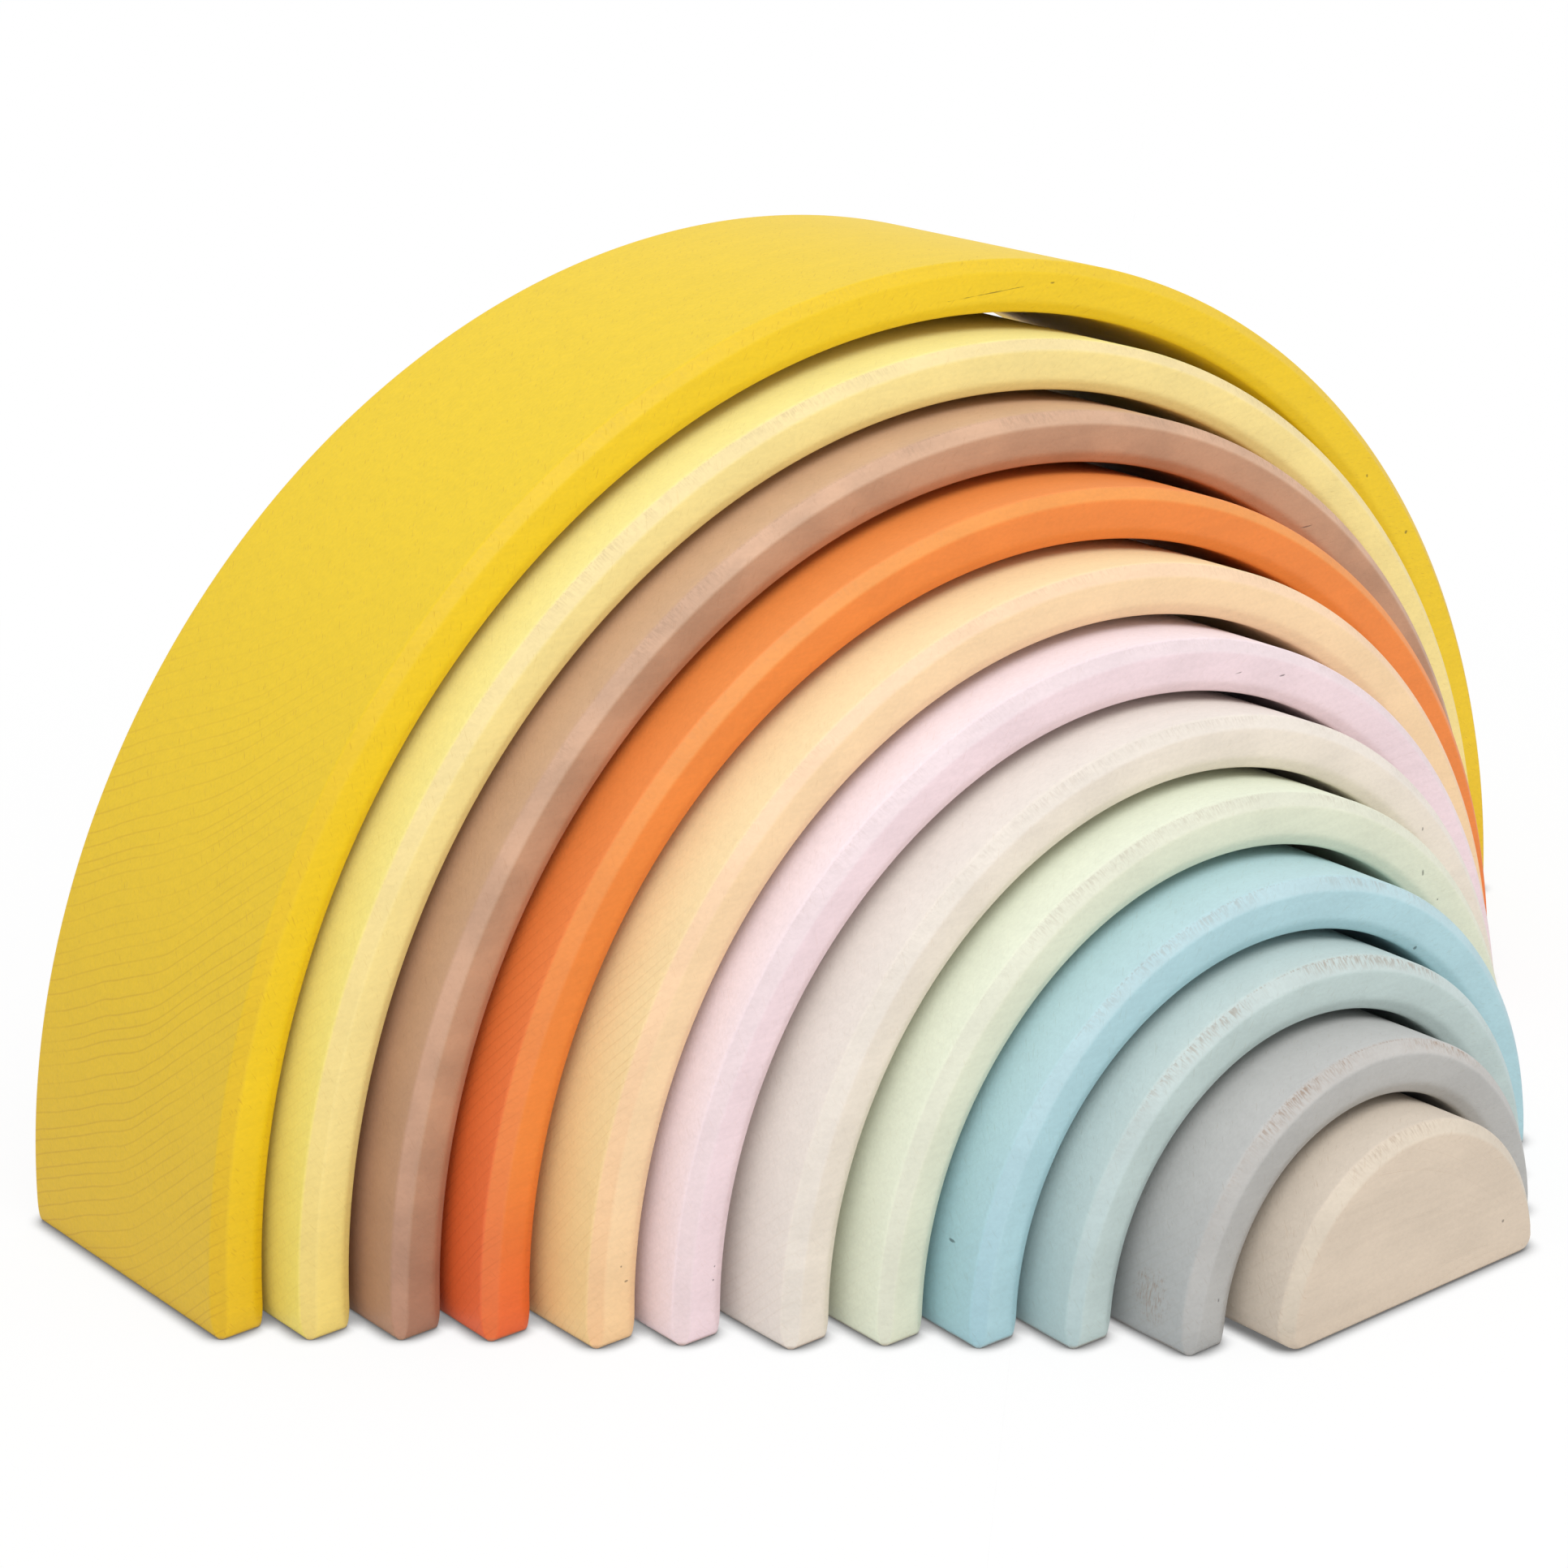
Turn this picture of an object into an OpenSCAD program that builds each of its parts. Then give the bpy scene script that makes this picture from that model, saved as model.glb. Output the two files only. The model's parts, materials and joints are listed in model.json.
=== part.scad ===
// Rainbow stacker: eleven nested wooden arches around a solid half-round. Every piece is loose and
// stands on its own feet, and each one is pulled a little way out of the arch around it.
// Millimetres: +X to the right, -Y towards the front, +Z up. The origin is on the floor, under the
// middle of the set.

/* [Pieces] */
// Radius of the solid half-round in the middle
core_radius = 35.6; // [20:0.2:60]
// Thickness of every arch but the outermost
wall = 10.8; // [7:0.2:16]
// Thickness of the outermost arch, which is the stoutest
outer_wall = 11.2; // [7:0.2:16]
// Gap between a piece and the arch around it, when the piece stands in the middle
gap = 2.2; // [1:0.1:5]
// Gap inside the outermost arch, which is the loosest
outer_gap = 3.2; // [1:0.1:6]
// Depth of every piece from front to back
piece_depth = 73; // [40:1:120]

/* [Edges] */
// Flat sanded on the long edges of every piece
edge_flat = 2.4; // [0.4:0.2:3]
// Flat sanded on the edges of the feet
foot_flat = 1.2; // [0.4:0.2:2]

/* [Pulled forward] */
// Pale yellow arch, out of the yellow arch
pale_yellow_pull = 11.5; // [0:0.5:60]
// Taupe arch, out of the pale yellow arch
taupe_pull = 11.5; // [0:0.5:60]
// Orange arch, out of the taupe arch
orange_pull = 14; // [0:0.5:60]
// Peach arch, out of the orange arch
peach_pull = 13.5; // [0:0.5:60]
// Pink arch, out of the peach arch
pink_pull = 11.5; // [0:0.5:60]
// Cream arch, out of the pink arch
cream_pull = 13; // [0:0.5:60]
// Green arch, out of the cream arch
green_pull = 11.5; // [0:0.5:60]
// Blue arch, out of the green arch
blue_pull = 14.5; // [0:0.5:60]
// Teal arch, out of the blue arch
teal_pull = 11; // [0:0.5:60]
// Grey arch, out of the teal arch
grey_pull = 14; // [0:0.5:60]
// Sand half-round, out of the grey arch
sand_pull = 11; // [0:0.5:60]

/* [Sideways play] */
// Least room between a piece and the arch around it
side_clearance = 0.3; // [0.1:0.1:0.8]
// Where the pale yellow arch stands in its play, from -1 at the left to 1 at the right
pale_yellow_lean = -0.6; // [-1:0.1:1]
// Where the pink arch stands in its play
pink_lean = 0.2; // [-0.7:0.1:0.7]
// Where the cream arch stands in its play
cream_lean = 0.6; // [-0.7:0.1:0.7]
// Where the green arch stands in its play
green_lean = 0.8; // [-0.8:0.1:0.8]
// Where the blue arch stands in its play
blue_lean = 0.4; // [-0.4:0.1:0.4]
// Where the teal arch stands in its play
teal_lean = 0.2; // [-0.9:0.1:0.9]
// Where the grey arch stands in its play
grey_lean = 0.3; // [-0.3:0.1:0.3]
// Where the sand half-round stands in its play
sand_lean = 0.6; // [-1:0.1:1]

/* [Standing askew] */
// Share of its play that the orange arch takes up by standing askew in the taupe arch
orange_skew = -0.3; // [-1:0.1:1]
// Share of its play that the peach arch takes up by standing straight again in the orange arch
peach_skew = 0.3; // [-1:0.1:1]
// Share of its play that the pink arch takes up by standing askew in the peach arch
pink_skew = -0.3; // [-0.8:0.1:0.8]
// Share of its play that the cream arch takes up by standing straight again in the pink arch
cream_skew = 0.3; // [-0.4:0.1:0.4]
// Share of its play that the green arch takes up by standing askew in the cream arch
green_skew = -0.2; // [-0.2:0.1:0.2]
// Share of its play that the blue arch takes up by standing askew in the green arch
blue_skew = -0.6; // [-0.6:0.1:0.6]
// Share of its play that the teal arch takes up by standing askew in the blue arch
teal_skew = 0.1; // [-0.8:0.1:0.8]
// Share of its play that the grey arch takes up by standing straight again in the teal arch
grey_skew = 0.7; // [-0.7:0.1:0.7]

/* [Hidden] */
$fn = 180;

// How far a cut runs past both ends of the edge that it follows
cut_over = 2 * foot_flat;

// Places in the nest, counted inwards from the yellow arch
YELLOW = 0;
PALE_YELLOW = 1;
TAUPE = 2;
ORANGE = 3;
PEACH = 4;
PINK = 5;
CREAM = 6;
GREEN = 7;
BLUE = 8;
TEAL = 9;
GREY = 10;
SAND = 11;

pulls = [
    0, pale_yellow_pull, taupe_pull, orange_pull, peach_pull, pink_pull,
    cream_pull, green_pull, blue_pull, teal_pull, grey_pull, sand_pull
];
leans = [
    0, pale_yellow_lean, 0, 0, 0, pink_lean,
    cream_lean, green_lean, blue_lean, teal_lean, grey_lean, sand_lean
];
skews = [
    0, 0, 0, orange_skew, peach_skew, pink_skew,
    cream_skew, green_skew, blue_skew, teal_skew, grey_skew, 0
];

// Sum of a list
function total(list, i = 0) = i < len(list) ? list[i] + total(list, i + 1) : 0;

// Gap around a piece, and how far the piece can move to either side of the middle
function gap_around(piece) = piece == PALE_YELLOW ? outer_gap : gap;
function play(piece) = gap_around(piece) - side_clearance;

// Thickness of an arch
function wall_of(piece) = piece == YELLOW ? outer_wall : wall;

// Radii build up from the half-round outwards, a gap and a wall at a time
function outer_radius(piece) = piece == SAND ? core_radius : inner_radius(piece) + wall_of(piece);
function inner_radius(piece) = outer_radius(piece + 1) + gap_around(piece + 1);

// Turn of a piece in the arch around it that brings its ends sideways by its share of the play
function turn(piece) = asin(skews[piece] * play(piece) / (piece_depth / 2));

// Puts its children where a piece stands: along the arch around it, then sideways and askew in it
module in_nest(piece) {
    if (piece == YELLOW)
        translate([0, total(pulls) / 2, 0]) children();
    else
        in_nest(piece - 1)
        translate([leans[piece] * play(piece), -pulls[piece], 0])
        rotate([0, 0, turn(piece)])
        children();
}

// Square bar whose long edges cut a foot's edge to a flat, lying along X
module foot_edge_cut(length) {
    side = foot_flat * sqrt(2);
    rotate([45, 0, 0]) cube([length, side, side], center = true);
}

// Half turn of a section, standing up with its flat side on z = 0
module half_turn(section) {
    rotate([90, 0, 0]) rotate_extrude(angle = 180) polygon(section);
}

// Cuts for the edges of all feet of a piece: front, back and the sides at the given radii
module foot_cuts(outer, side_radii) {
    for (y = [-piece_depth / 2, piece_depth / 2])
        translate([0, y, 0]) foot_edge_cut(2 * (outer + cut_over));
    for (radius = side_radii, side = [-1, 1])
        translate([side * radius, 0, 0]) rotate([0, 0, 90]) foot_edge_cut(piece_depth + 2 * cut_over);
}

// Arch with a flat on each of its four long edges
module arch(piece) {
    outer = outer_radius(piece);
    inner = inner_radius(piece);
    half = piece_depth / 2;
    difference() {
        half_turn([
            [inner + edge_flat, -half], [outer - edge_flat, -half],
            [outer, edge_flat - half], [outer, half - edge_flat],
            [outer - edge_flat, half], [inner + edge_flat, half],
            [inner, half - edge_flat], [inner, edge_flat - half]
        ]);
        foot_cuts(outer, [inner, outer]);
    }
}

// Solid half-round with a flat on its two curved edges
module half_round() {
    half = piece_depth / 2;
    difference() {
        half_turn([
            [0, -half], [core_radius - edge_flat, -half],
            [core_radius, edge_flat - half], [core_radius, half - edge_flat],
            [core_radius - edge_flat, half], [0, half]
        ]);
        foot_cuts(core_radius, [core_radius]);
    }
}

module yellow_arch() { color("#edc52c") in_nest(YELLOW) arch(YELLOW); }
module pale_yellow_arch() { color("#f2dd87") in_nest(PALE_YELLOW) arch(PALE_YELLOW); }
module taupe_arch() { color("#b18c76") in_nest(TAUPE) arch(TAUPE); }
module orange_arch() { color("#ee8040") in_nest(ORANGE) arch(ORANGE); }
module peach_arch() { color("#f5cb95") in_nest(PEACH) arch(PEACH); }
module pink_arch() { color("#ecd3dc") in_nest(PINK) arch(PINK); }
module cream_arch() { color("#e6d9ca") in_nest(CREAM) arch(CREAM); }
module green_arch() { color("#dbe2c6") in_nest(GREEN) arch(GREEN); }
module blue_arch() { color("#9ccbd6") in_nest(BLUE) arch(BLUE); }
module teal_arch() { color("#b8d0cf") in_nest(TEAL) arch(TEAL); }
module grey_arch() { color("#b0aeae") in_nest(GREY) arch(GREY); }
module sand_half_round() { color("#dccbb5") in_nest(SAND) half_round(); }

yellow_arch();
pale_yellow_arch();
taupe_arch();
orange_arch();
peach_arch();
pink_arch();
cream_arch();
green_arch();
blue_arch();
teal_arch();
grey_arch();
sand_half_round();
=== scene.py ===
"""Rainbow stacker: twelve loose pieces of painted wood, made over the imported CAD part.

Each piece is a rounded section carried along its half circle, with sanded flats on the long edges,
rounded feet and paint that is rubbed pale on the flats. All lengths are in metres.
"""

import json
import math
from collections import namedtuple

import bpy
import numpy as np
from bpy.props import FloatProperty, FloatVectorProperty, PointerProperty
from mathutils import Matrix, Vector

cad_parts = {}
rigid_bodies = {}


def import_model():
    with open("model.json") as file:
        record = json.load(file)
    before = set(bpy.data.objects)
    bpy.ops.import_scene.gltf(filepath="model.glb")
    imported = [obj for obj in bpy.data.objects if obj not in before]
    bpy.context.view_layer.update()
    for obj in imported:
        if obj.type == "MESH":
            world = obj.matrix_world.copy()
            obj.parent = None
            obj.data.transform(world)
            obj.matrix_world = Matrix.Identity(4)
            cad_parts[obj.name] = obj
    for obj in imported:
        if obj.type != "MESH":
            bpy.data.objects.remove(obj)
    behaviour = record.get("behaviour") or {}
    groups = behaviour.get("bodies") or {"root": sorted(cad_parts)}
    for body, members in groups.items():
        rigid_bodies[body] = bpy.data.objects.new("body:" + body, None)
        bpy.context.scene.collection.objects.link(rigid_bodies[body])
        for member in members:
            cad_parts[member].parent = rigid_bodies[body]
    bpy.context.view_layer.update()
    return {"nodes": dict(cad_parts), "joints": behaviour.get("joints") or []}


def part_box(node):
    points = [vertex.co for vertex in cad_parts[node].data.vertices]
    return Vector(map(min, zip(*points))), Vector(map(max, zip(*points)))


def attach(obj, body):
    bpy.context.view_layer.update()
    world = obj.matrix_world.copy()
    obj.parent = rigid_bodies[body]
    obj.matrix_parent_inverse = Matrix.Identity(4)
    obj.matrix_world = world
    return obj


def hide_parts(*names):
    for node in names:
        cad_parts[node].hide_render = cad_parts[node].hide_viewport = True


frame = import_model()

bl_info = {
    "name": "Rainbow Stacker",
    "version": (1, 0, 0),
    "blender": (4, 5, 0),
    "location": "View3D > Sidebar > Rainbow",
    "description": "Builds a nest of painted wooden arches around a half-round",
    "category": "Object",
}

MM = 0.001
HALF_ROUND = "sand_half_round"
ARCHES = [
    "yellow_arch", "pale_yellow_arch", "taupe_arch", "orange_arch", "peach_arch", "pink_arch",
    "cream_arch", "green_arch", "blue_arch", "teal_arch", "grey_arch",
]
OUTER_ARCH = ARCHES[0]

# How each piece is finished: the paint on its faces, on its sanded flats and on its outer face, in 8-bit
# sRGB, where the outer face's paint is set lighter or darker than the face as painted light and shade. Then
# what that paint is multiplied by at the feet, as painted shade that darkens the lower parts. Then shares
# from 0 to 1: how much of that painted shade shows on the front, the bare strokes on its flats, its growth
# rings, its pores and the clouds in its paint, and how steeply its growth rings rise towards the front.
Finish = namedtuple("Finish", "face flat outer soaked front_soak strokes rings pores clouds rise")
FINISHES = {
    "yellow_arch": Finish(
        (236, 198, 3), (227, 190, 12), (229, 195, 8), (0.9, 0.83, 0.52), 0.7, 0.1, 0.8, 1.0, 0.0, 0.4,
    ),
    "pale_yellow_arch": Finish(
        (245, 223, 145), (234, 213, 155), (240, 229, 152), (0.97, 0.92, 0.52), 0.7, 0.3, 0.2, 0.4, 0.2, 0.5,
    ),
    "taupe_arch": Finish(
        (186, 143, 112), (201, 161, 132), (202, 165, 133), (0.72, 0.62, 0.62), 1.0, 0.4, 0.1, 0.4, 1.0, 0.6,
    ),
    "orange_arch": Finish(
        (235, 132, 52), (230, 146, 68), (235, 140, 67), (0.95, 0.5, 0.52), 0.85, 0.1, 0.7, 0.3, 0.2, 0.8,
    ),
    "peach_arch": Finish(
        (242, 209, 164), (238, 204, 169), (241, 221, 174), (0.96, 0.85, 0.66), 0.5, 0.2, 0.6, 0.3, 0.2, 0.8,
    ),
    "pink_arch": Finish(
        (236, 213, 218), (227, 209, 212), (241, 226, 233), (1.0, 0.97, 0.96), 0.0, 0.15, 0.1, 0.3, 0.2, 0.5,
    ),
    "cream_arch": Finish(
        (230, 218, 204), (224, 215, 204), (229, 221, 212), (1.0, 1.0, 1.0), 0.0, 0.2, 0.2, 0.3, 0.3, 0.5,
    ),
    "green_arch": Finish(
        (223, 224, 200), (216, 217, 198), (227, 233, 212), (1.0, 1.0, 1.0), 0.0, 0.3, 0.1, 0.3, 0.2, 0.5,
    ),
    "blue_arch": Finish(
        (172, 206, 213), (178, 205, 211), (180, 210, 215), (0.8, 0.91, 0.95), 0.0, 0.4, 0.1, 0.4, 0.2, 0.5,
    ),
    "teal_arch": Finish(
        (186, 202, 199), (188, 201, 199), (191, 206, 204), (0.83, 0.91, 0.94), 0.0, 0.7, 0.1, 0.4, 0.3, 0.5,
    ),
    "grey_arch": Finish(
        (176, 175, 172), (185, 182, 178), (184, 184, 182), (0.82, 0.85, 0.87), 0.2, 0.9, 0.2, 0.5, 0.4, 0.5,
    ),
    HALF_ROUND: Finish(
        (210, 193, 173), (209, 196, 178), (209, 196, 180), (0.93, 0.93, 0.93), 0.2, 0.45, 0.2, 0.5, 0.3, 0.5,
    ),
}
BARE_WOOD = (146, 118, 95)

# Pits and cracks in the paint. Each has its piece, the angle of its place along the arch in degrees, its
# distances from the axis and behind the front, its length along the fibre, its height and its reach along
# the piece's depth, in millimetres.
Flaw = namedtuple("Flaw", "node angle radius behind length height depth", defaults=(3.0,))
FLAWS = [
    Flaw("yellow_arch", 84, 173.3, 0.0, 30.0, 0.3), Flaw("yellow_arch", 78.5, 175.4, 0.0, 2.0, 0.6),
    Flaw("yellow_arch", 40.5, 173.7, 0.0, 1.2, 1.2), Flaw("yellow_arch", 33.6, 175.0, 0.0, 1.2, 1.2),
    Flaw("taupe_arch", 51.7, 145.0, 0.0, 7.0, 0.6),
    Flaw("peach_arch", 174, 119.2, 0.0, 1.2, 0.7), Flaw("peach_arch", 172.5, 120.6, 0.0, 0.7, 0.7),
    Flaw("pink_arch", 172, 105.9, 0.0, 0.6, 0.6), Flaw("pink_arch", 173.5, 106.0, 0.0, 0.7, 0.7),
    Flaw("pink_arch", 73.8, 107.1, 0.0, 3.4, 0.45), Flaw("pink_arch", 67, 108.3, 0.0, 2.2, 0.5),
    Flaw("cream_arch", 41.4, 94.5, 0.0, 0.8, 1.1),
    Flaw("green_arch", 46.4, 82.1, 0.0, 1.1, 2.0), Flaw("green_arch", 40.5, 80.6, 0.0, 0.7, 0.8),
    Flaw("blue_arch", 165.5, 74.6, 10.5, 0.8, 0.8), Flaw("blue_arch", 53.5, 65.0, 0.6, 1.0, 1.4),
    Flaw("grey_arch", 166.5, 42.1, 0.0, 0.9, 1.3),
    Flaw(HALF_ROUND, 19.6, 26.0, 0.0, 1.2, 1.0),
]
# Patches where the paint is worn to bare streaks, told in the same way
WORN_PATCHES = [Flaw("grey_arch", 169.5, 48.6, 11.0, 8.0, 16.0, 13.0)]


def linear(colour):
    """Linear colour of an 8-bit sRGB colour: the power curve of the sRGB standard."""
    share = np.asarray(colour) / 255.0
    return tuple(np.where(share <= 0.04045, share / 12.92, ((share + 0.055) / 1.055) ** 2.4))


def colour_property(piece, part, colour):
    """Colour property for one part of a piece."""
    return FloatVectorProperty(
        name=f"{piece.replace('_', ' ').capitalize()}, {part}",
        description=f"Paint on the {part} of this piece",
        subtype="COLOR", size=3, min=0.0, max=1.0, default=linear(colour),
    )


class RainbowSizes(bpy.types.PropertyGroup):
    """Shape of the edges, the feet and the tunnels."""

    edge_flat: FloatProperty(
        name="Edge flat", description="Flat sanded on the long edges",
        default=2.4 * MM, min=0.4 * MM, max=3 * MM, unit="LENGTH",
    )
    inner_depth: FloatProperty(
        name="Inner flat depth", description="How far the flats inside an arch reach into its tunnel",
        default=1.3 * MM, min=0.4 * MM, max=2.4 * MM, unit="LENGTH",
    )
    edge_softness: FloatProperty(
        name="Edge softness", description="How far a rounding runs to either side of an edge",
        default=0.4 * MM, min=0.1 * MM, max=0.8 * MM, unit="LENGTH",
    )
    inner_softness: FloatProperty(
        name="Inner softness", description="The same for the edges inside an arch",
        default=0.7 * MM, min=0.1 * MM, max=0.9 * MM, unit="LENGTH",
    )
    foot_inset: FloatProperty(
        name="Foot inset", description="How far the edges of the feet are drawn in",
        default=1.3 * MM, min=0.4 * MM, max=1.6 * MM, unit="LENGTH",
    )
    foot_height: FloatProperty(
        name="Foot height", description="Height over which the edges of the feet are rounded",
        default=5.0 * MM, min=0.8 * MM, max=8 * MM, unit="LENGTH",
    )
    corner_round: FloatProperty(
        name="Corner rounding", description="Radius of the half-round's bottom corners",
        default=4.6 * MM, min=4.2 * MM, max=6 * MM, unit="LENGTH",
    )
    unevenness: FloatProperty(
        name="Unevenness", description="Share by which hand sanding widens and narrows a flat",
        default=0.14, min=0.0, max=0.3, subtype="FACTOR",
    )
    sanded_away: FloatProperty(
        name="Sanded away", description="Most that hand sanding takes off a face",
        default=0.15 * MM, min=0.0, max=0.25 * MM, unit="LENGTH",
    )
    tunnel_belly: FloatProperty(
        name="Tunnel belly", description="How far a tunnel closes in below its crown, behind its middle",
        default=0.9 * MM, min=0.0, max=1.2 * MM, unit="LENGTH",
    )
    outer_belly: FloatProperty(
        name="Outer belly", description="The same for the tunnel of the outermost arch",
        default=2.2 * MM, min=0.0, max=2.4 * MM, unit="LENGTH",
    )
    path_step: FloatProperty(
        name="Path step", description="Distance between two sections along an arch",
        default=2.4 * MM, min=1 * MM, max=6 * MM, unit="LENGTH",
    )


class RainbowPaint(bpy.types.PropertyGroup):
    """Paint of every piece, on its faces, on its sanded flats and on its outer face, the last with painted
    light and shade.
    """

    bare_wood: FloatVectorProperty(
        name="Bare wood", description="Wood that shows where the paint is rubbed through",
        subtype="COLOR", size=3, min=0.0, max=1.0, default=linear(BARE_WOOD),
    )
    roughness: FloatProperty(
        name="Roughness", description="Roughness of the paint",
        default=0.55, min=0.0, max=1.0, subtype="FACTOR",
    )
    gloss: FloatProperty(
        name="Gloss", description="Strength of the paint's reflections",
        default=0.5, min=0.0, max=1.0, subtype="FACTOR",
    )
    __annotations__ |= {
        f"{piece}_{part}": colour_property(piece, part, getattr(finish, part))
        for piece, finish in FINISHES.items() for part in ("face", "flat", "outer")
    }


class RainbowStage(bpy.types.PropertyGroup):
    """Camera, lamps and floor."""

    azimuth: FloatProperty(
        name="Azimuth", description="Heading of the view, clockwise from straight back",
        default=math.radians(38.39), subtype="ANGLE",
    )
    elevation: FloatProperty(
        name="Elevation", description="Angle by which the view looks down",
        default=math.radians(19.28), subtype="ANGLE",
    )
    roll: FloatProperty(
        name="Roll", description="Turn of the camera about its view",
        default=math.radians(-1.44), subtype="ANGLE",
    )
    distance: FloatProperty(
        name="Distance", description="From the camera to the point that it looks at",
        default=0.8304, min=0.1, unit="LENGTH",
    )
    aim_side: FloatProperty(
        name="Aim, sideways", description="Where the view crosses the outer arch, left of its middle",
        default=-10.8 * MM, unit="LENGTH",
    )
    aim_height: FloatProperty(
        name="Aim, height", description="Height at which the view crosses the outer arch",
        default=63.0 * MM, unit="LENGTH",
    )
    lens: FloatProperty(
        name="Lens", description="Focal length in millimetres, for a sensor 36 mm wide",
        default=87.72, min=10.0,
    )
    sky: FloatProperty(
        name="Sky", description="Light from all around",
        default=0.77, min=0.0,
    )
    key_light: FloatProperty(
        name="Key light", description="Power of the soft lamp in front of the set, in watts",
        default=14.6, min=0.0,
    )
    shadow: FloatProperty(
        name="Shadow", description="Share of the floor's own shading that the camera sees",
        default=0.12, min=0.0, max=1.0, subtype="FACTOR",
    )


# Measures from the frame

Piece = namedtuple("Piece", "x y turn outer inner depth")


def measure(node):
    """Where a piece stands and how large it is, read from its CAD node.

    The centre is the middle of the box. The turn is that of the slide that the piece carries, whose
    axis runs along its tunnel. Radii are distances from the line through the centre on the floor.
    """
    low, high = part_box(node)
    x, y = (low.x + high.x) / 2, (low.y + high.y) / 2
    forward = next((joint["axis"] for joint in frame["joints"] if joint["parent"] == node), (0, -1, 0))
    turn = math.atan2(forward[0], -forward[1])
    vertices = frame["nodes"][node].data.vertices
    points = np.empty(3 * len(vertices), np.float32)
    vertices.foreach_get("co", points)
    east, north, height = points.reshape(-1, 3).T
    side = (east - x) * math.cos(turn) + (north - y) * math.sin(turn)
    back = (north - y) * math.cos(turn) - (east - x) * math.sin(turn)
    radius = np.hypot(side, height)
    return Piece(x, y, turn, float(height.max()), float(radius.min()), float(np.ptp(back)))


def place(piece, side, back, height):
    """Points of a piece's own frame in the shared frame: turned about the upright, then moved."""
    east = piece.x + side * math.cos(piece.turn) - back * math.sin(piece.turn)
    north = piece.y + side * math.sin(piece.turn) + back * math.cos(piece.turn)
    return np.stack([east, north, height], axis=-1)


# Sections and paths

# Steps in which the section goes round a corner
BEND_STEPS = 4


def marked(sides, count):
    """Start and end values for the sides of a section: 1 along the named sides, 0 along the others."""
    return [(1, 1) if side in sides else (0, 0) for side in range(count)]


# Sides of an arch's section in order: outer face, flat, back, flat, tunnel, flat, front and flat
SIDES = 8
OUTER, OUTER_BACK_FLAT, TUNNEL, FRONT, OUTER_FRONT_FLAT = 0, 1, 4, 6, 7
# For each side the points between its bends, and at its start and end whether it has the paint of the outer
# face, whether it has the paint of the flats, whether it is the tunnel, how much it is rubbed through and
# how much it cuts across the grain
SIDE_POINTS = [16, 2, 4, 2, 16, 2, 4, 2]
SIDE_OUTSIDE = marked([OUTER], SIDES)
SIDE_PALENESS = marked([OUTER_BACK_FLAT, OUTER_FRONT_FLAT], SIDES)
SIDE_TUNNEL = marked([TUNNEL], SIDES)
SIDE_RUBBED = [(0, 0), (1, 0.3), (0, 0), (0, 0), (0, 0), (0, 0), (0, 0), (0.3, 1)]
SIDE_END_GRAIN = [(1, 1), (0.9, 0.8), (0.7, 0.7), (0.8, 0.9), (1, 1), (0.9, 0.8), (0.7, 0.7), (0.8, 0.9)]
# Whether each corner of the section is one of those inside the arch, from the outer front corner on
CORNER_INSIDE = np.array([0, 0, 0, 1, 1, 1, 1, 0])
# How fast the flats narrow as the feet are drawn in, and the least share of a flat that is left
FLAT_NARROWING = 1.8
LEAST_FLAT = 0.1
# How fast the belly of a tunnel fades from the crown towards the feet, and what makes its peak 1
BELLY_FADE = 2
BELLY_PEAK = 27 / 32
# Shares of the full height between which the rubbing of the flats sets in
RUBBED_FROM, RUBBED_TO = 0.36, 0.85
# Least number of sections along an arch
LEAST_STEPS = 120
# Wandering of a path: the turns of its longest sine per angle, the strengths that its sines are drawn from
# and how fast they get weaker
WANDER_PACE = 1.7
WANDER_STRENGTHS = (0.4, 1.0)
WANDER_FADE = 0.7


def spread(count):
    """Shares of a side for the points on it, closer together near its ends: half of 1 minus cosine."""
    return (1 - np.cos(np.pi * np.arange(1, count + 1) / (count + 1))) / 2


def rounded_section(corners, softness, side_points):
    """Closed sections with rounded corners, one for every step of a path.

    corners is steps x corners x 2. Each corner becomes a parabola that leaves one side and meets the
    next at the softness from the corner, and straight runs of points join the parabolas.
    """
    def towards(neighbour):
        return (neighbour - corners) / np.linalg.norm(neighbour - corners, axis=2, keepdims=True)

    start = corners + softness * towards(np.roll(corners, 1, axis=1))
    end = corners + softness * towards(np.roll(corners, -1, axis=1))
    u = np.linspace(0, 1, BEND_STEPS + 1)[:, None]
    bends = (
        (1 - u) ** 2 * start[:, :, None] + 2 * u * (1 - u) * corners[:, :, None] + u ** 2 * end[:, :, None]
    )
    next_start = np.roll(start, -1, axis=1)
    runs = []
    for side, count in enumerate(side_points):
        t = spread(count)[:, None]
        runs += [bends[:, side], (1 - t) * end[:, side, None] + t * next_start[:, side, None]]
    return np.concatenate(runs, axis=1)


def section_values(values, side_points):
    """One value for each point of a section: a straight ramp along each side and over each bend."""
    u = np.linspace(0, 1, BEND_STEPS + 1)
    runs = []
    for side, count in enumerate(side_points):
        before, (start, end) = values[side - 1][1], values[side]
        runs += [before + (start - before) * u, start + (end - start) * spread(count)]
    return np.concatenate(runs)


def wander(turns, draw, waves=5):
    """Slow wandering along a path, from -1 to 1: a sum of sines that get weaker as they get shorter."""
    order = np.arange(1, waves + 1)
    phase = draw.uniform(0, 2 * np.pi, waves)
    share = draw.uniform(*WANDER_STRENGTHS, waves) / order ** WANDER_FADE
    return (share * np.sin(order * WANDER_PACE * turns[:, None] + phase)).sum(1) / share.sum()


def foot_rings(drawn_in, height, margin, count=8):
    """Insets and heights that close a foot: a flat margin on the floor, then a quarter ellipse."""
    angle = np.linspace(0, np.pi / 2, count)
    inset = np.append(drawn_in + margin, drawn_in * (1 - np.sin(angle)))
    return inset, np.append(0.0, height * (1 - np.cos(angle)))


# Meshes

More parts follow.
